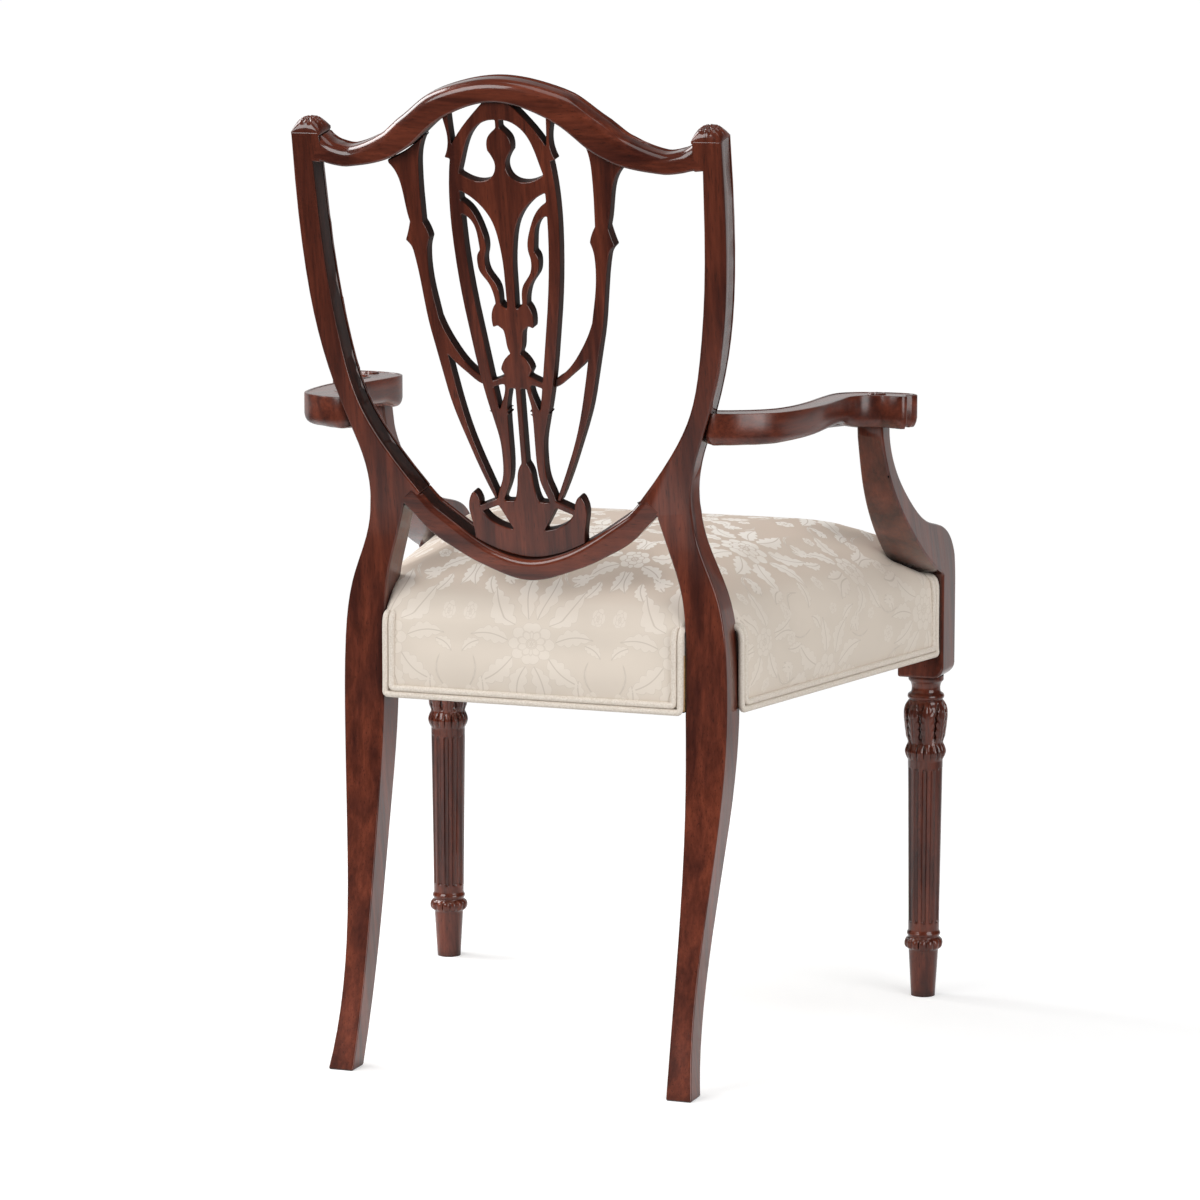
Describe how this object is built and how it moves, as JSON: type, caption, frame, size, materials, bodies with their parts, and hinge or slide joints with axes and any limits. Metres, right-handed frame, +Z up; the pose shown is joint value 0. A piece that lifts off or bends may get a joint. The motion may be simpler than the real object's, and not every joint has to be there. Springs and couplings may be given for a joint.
{
  "type": "armchair",
  "caption": "Open armchair with a pierced shield back, bowed arms, turned fluted front legs, sabre back legs and a stuffed-over damask seat.",
  "frame": {"origin": "on the floor, under the middle of the chair's box", "axes": "+Z up, the chair faces -Y, +X to the sitter's left"},
  "size_m": [0.6254, 0.5636, 0.9764],
  "materials": {
    "mahogany": "polished dark red-brown mahogany",
    "beech": "planed plain hardwood, hidden by the upholstery",
    "damask": "ivory satin damask",
    "piping": "double cord covered in the seat cloth",
    "stuffing": "sewn stuffing under the cover",
    "webbing": "woven jute",
    "dust_cloth": "plain black cambric"
  },
  "bodies": {
    "root": {"arm_left": "mahogany", "arm_right": "mahogany", "arm_support_left": "mahogany", "arm_support_right": "mahogany", "back_post_left": "mahogany", "back_post_right": "mahogany", "banister_left": "mahogany", "banister_right": "mahogany", "center_splat": "mahogany", "corner_block_front_left": "beech", "corner_block_front_right": "beech", "corner_block_rear_left": "beech", "corner_block_rear_right": "beech", "crest_rail": "mahogany", "dust_cover": "dust_cloth", "front_leg_left": "mahogany", "front_leg_right": "mahogany", "front_seat_rail": "beech", "rear_seat_rail": "beech", "seat_cover": "damask", "seat_pad": "stuffing", "shield_bow": "mahogany", "side_seat_rail_left": "beech", "side_seat_rail_right": "beech", "webbing_crosswise": "webbing", "webbing_lengthwise": "webbing", "welt_front": "piping", "welt_rear": "piping", "welt_side_left": "piping", "welt_side_right": "piping"}
  },
  "joints": []
}
